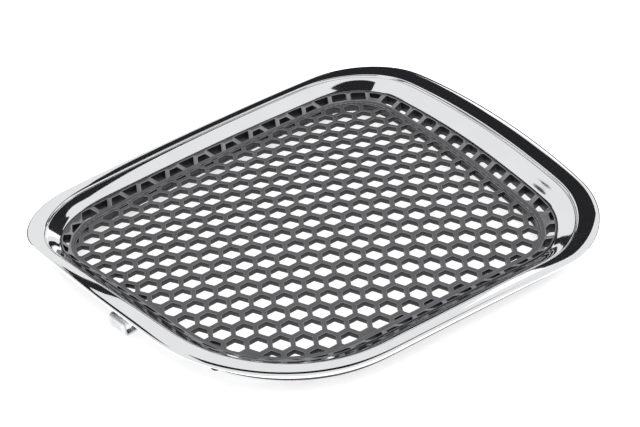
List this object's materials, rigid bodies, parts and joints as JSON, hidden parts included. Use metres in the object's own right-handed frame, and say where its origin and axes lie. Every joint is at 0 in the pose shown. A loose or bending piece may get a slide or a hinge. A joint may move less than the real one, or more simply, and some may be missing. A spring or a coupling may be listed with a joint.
{
  "type": "front grille",
  "caption": "Chromed rounded-quadrilateral grille surround with a dark bowed honeycomb panel in a windowed carrier, screwed together from behind, with clip-on body brackets.",
  "frame": {"origin": "middle of the footprint, at the lowest point of the body brackets, with the grille lying on its back", "axes": "+X along the long side, +Y towards the longer straight side, +Z out of the front of the grille"},
  "size_m": [0.3292, 0.2888, 0.0318],
  "materials": {
    "chrome": "bright chrome plate on moulded plastic, mirror polish",
    "dark_plastic": "dark grey satin paint on moulded plastic",
    "zinc_steel": "bright zinc plate",
    "black_screw": "black zinc, slightly oily",
    "foam": "closed-cell foam strip"
  },
  "bodies": {
    "root": {"chrome_surround": "chrome", "honeycomb_panel": "dark_plastic", "panel_carrier": "dark_plastic", "insert_screw_1": "black_screw", "insert_screw_2": "black_screw", "insert_screw_3": "black_screw", "insert_screw_4": "black_screw", "insert_screw_5": "black_screw", "insert_screw_6": "black_screw", "insert_screw_7": "black_screw", "insert_screw_8": "black_screw", "insert_screw_9": "black_screw", "bracket_left": "zinc_steel", "bracket_screw_left": "black_screw", "spring_clip_left": "zinc_steel", "bracket_right": "zinc_steel", "bracket_screw_right": "black_screw", "spring_clip_right": "zinc_steel", "bracket_top_left": "zinc_steel", "bracket_screw_top_left": "black_screw", "spring_clip_top_left": "zinc_steel", "bracket_top_right": "zinc_steel", "bracket_screw_top_right": "black_screw", "spring_clip_top_right": "zinc_steel", "seal_top": "foam", "seal_right": "foam", "seal_bottom": "foam", "seal_left": "foam"}
  },
  "joints": []
}
